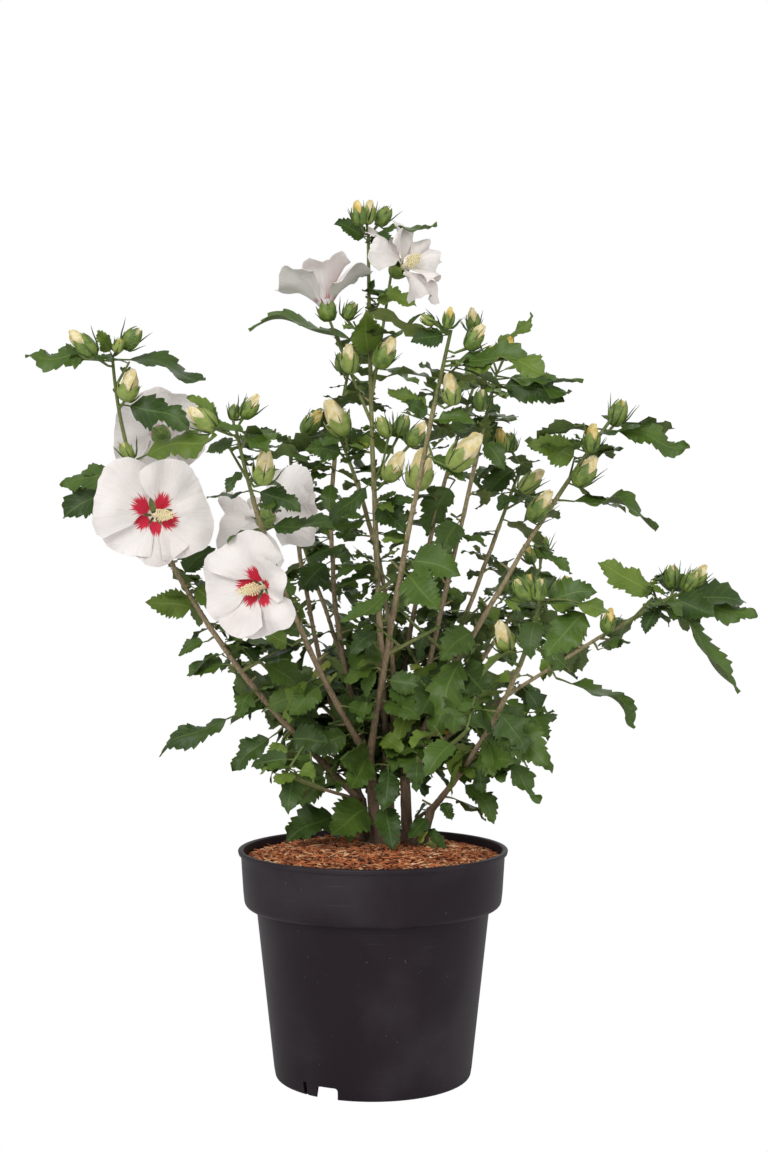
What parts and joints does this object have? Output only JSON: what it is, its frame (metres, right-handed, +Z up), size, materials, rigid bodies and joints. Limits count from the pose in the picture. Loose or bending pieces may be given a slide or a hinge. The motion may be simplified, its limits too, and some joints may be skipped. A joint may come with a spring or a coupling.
{
  "type": "potted rose of sharon shrub",
  "caption": "Many-stemmed flowering shrub with toothed leaves, pointed buds and open star-eyed blossoms, rooted in a round nursery pot with a bark-mulched root ball.",
  "frame": {"origin": "middle of the pot's flat underside", "axes": "+Z up along the pot's axis, -Y towards the side that bears most of the open blossoms"},
  "size_m": [0.7323, 0.5783, 0.9122],
  "materials": {
    "pot_plastic": "scuffed matte black",
    "bark_mulch": "loose bark chips over a root ball",
    "bark": "fine ridged young bark",
    "foliage": "satin leaves, buds and blossoms"
  },
  "bodies": {
    "root": {"pot": "pot_plastic", "root_ball": "bark_mulch", "root_crown": "bark", "stem_far_left": "bark", "stem_front_left": "bark", "stem_back_left": "bark", "stem_inner_left": "bark", "stem_leader": "bark", "stem_leader_fork": "bark", "stem_front_middle": "bark", "stem_inner_right": "bark", "stem_back_middle": "bark", "stem_back_right": "bark", "stem_right": "bark", "stem_front_right": "bark", "stem_far_right": "bark", "stem_low_left": "bark", "stem_rear_left": "bark", "stem_rear_right": "bark", "stem_rear_low": "bark", "stem_front_low_right": "bark", "stem_front_low_left": "bark", "blossom_shoot_left": "foliage", "blossom_shoot_front": "foliage", "blossom_shoot_behind": "foliage", "blossom_shoot_inner": "foliage", "blossom_shoot_top_left": "foliage", "blossom_shoot_top_right": "foliage", "spray_far_left": "foliage", "spray_front_left": "foliage", "spray_back_left": "foliage", "spray_inner_left": "foliage", "spray_leader": "foliage", "spray_leader_fork": "foliage", "spray_front_middle": "foliage", "spray_inner_right": "foliage", "spray_back_middle": "foliage", "spray_back_right": "foliage", "spray_right": "foliage", "spray_front_right": "foliage", "spray_far_right": "foliage", "spray_low_left": "foliage", "spray_rear_left": "foliage", "spray_rear_right": "foliage", "spray_rear_low": "foliage", "spray_front_low_right": "foliage", "spray_front_low_left": "foliage", "shoot_far_left": "foliage", "shoot_back_left": "foliage", "shoot_inner_left": "foliage", "shoot_leader": "foliage", "shoot_front_middle": "foliage", "shoot_inner_right": "foliage", "shoot_back_middle": "foliage", "shoot_back_right": "foliage", "shoot_right": "foliage", "shoot_front_right": "foliage", "shoot_far_right": "foliage", "shoot_rear_left": "foliage", "shoot_rear_right": "foliage"}
  },
  "joints": []
}
